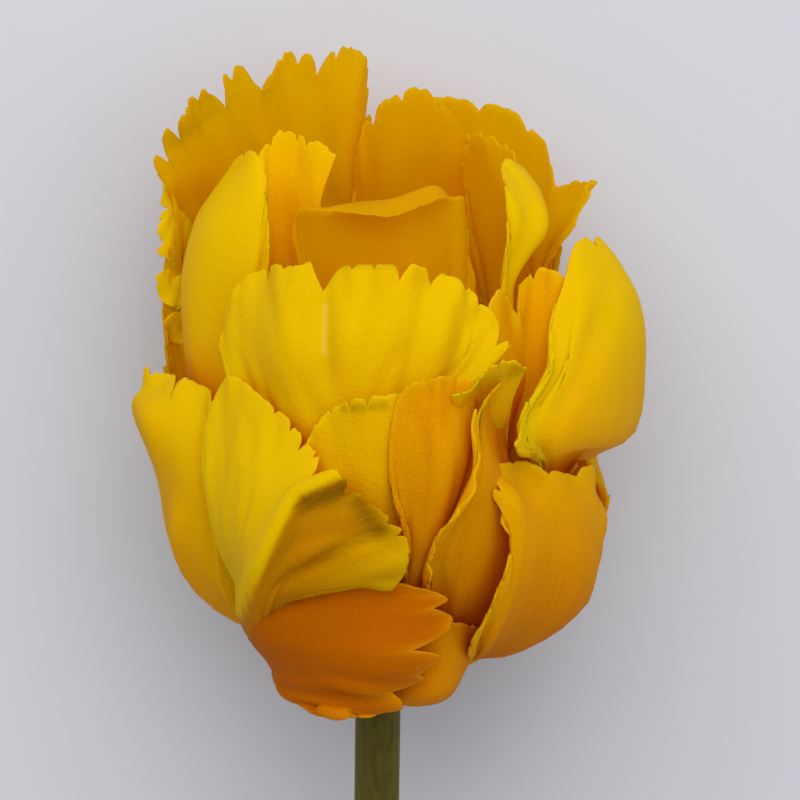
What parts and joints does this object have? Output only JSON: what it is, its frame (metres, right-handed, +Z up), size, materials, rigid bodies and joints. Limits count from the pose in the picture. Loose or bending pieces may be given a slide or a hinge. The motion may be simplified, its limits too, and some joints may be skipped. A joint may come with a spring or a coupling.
{
  "type": "cut tulip flower",
  "caption": "Cut yellow double parrot tulip lying on its back petals: a full bloom of ruffled petals with toothed edges on a short green stem.",
  "frame": {"origin": "middle of the underside's bounding box, on the surface it lies on", "axes": "+Z up as the cut flower lies, +Y along the stem from its cut end to the bloom's tip, +X across the bloom to its right as seen from above"},
  "size_m": [0.0702, 0.196, 0.0656],
  "materials": {
    "petal_yellow": "satin",
    "stem_green": "satin",
    "anther_dark": "matte",
    "pistil_green": "matte"
  },
  "bodies": {
    "root": {"petal_front_keeled": "petal_yellow", "petal_bottom_front": "petal_yellow", "petal_bottom_right": "petal_yellow", "petal_left_outer": "petal_yellow", "petal_right_low": "petal_yellow", "petal_right_back_low": "petal_yellow", "petal_back_left_low": "petal_yellow", "petal_back_right_low": "petal_yellow", "petal_right_big": "petal_yellow", "petal_front_right": "petal_yellow", "petal_front_spoon": "petal_yellow", "petal_front_mid": "petal_yellow", "petal_left_tall": "petal_yellow", "petal_back_left_fringe": "petal_yellow", "petal_back_right_tall": "petal_yellow", "petal_top_fan": "petal_yellow", "petal_inner_back": "petal_yellow", "petal_inner_back_right": "petal_yellow", "petal_upper_front": "petal_yellow", "petal_inner_right_curl": "petal_yellow", "petal_inner_right_flap": "petal_yellow", "petal_inner_right_front": "petal_yellow", "petal_inner_rolled": "petal_yellow", "stem": "stem_green", "pistil": "pistil_green", "stamen_1": "anther_dark", "stamen_2": "anther_dark", "stamen_3": "anther_dark", "stamen_4": "anther_dark", "stamen_5": "anther_dark", "stamen_6": "anther_dark"}
  },
  "joints": []
}
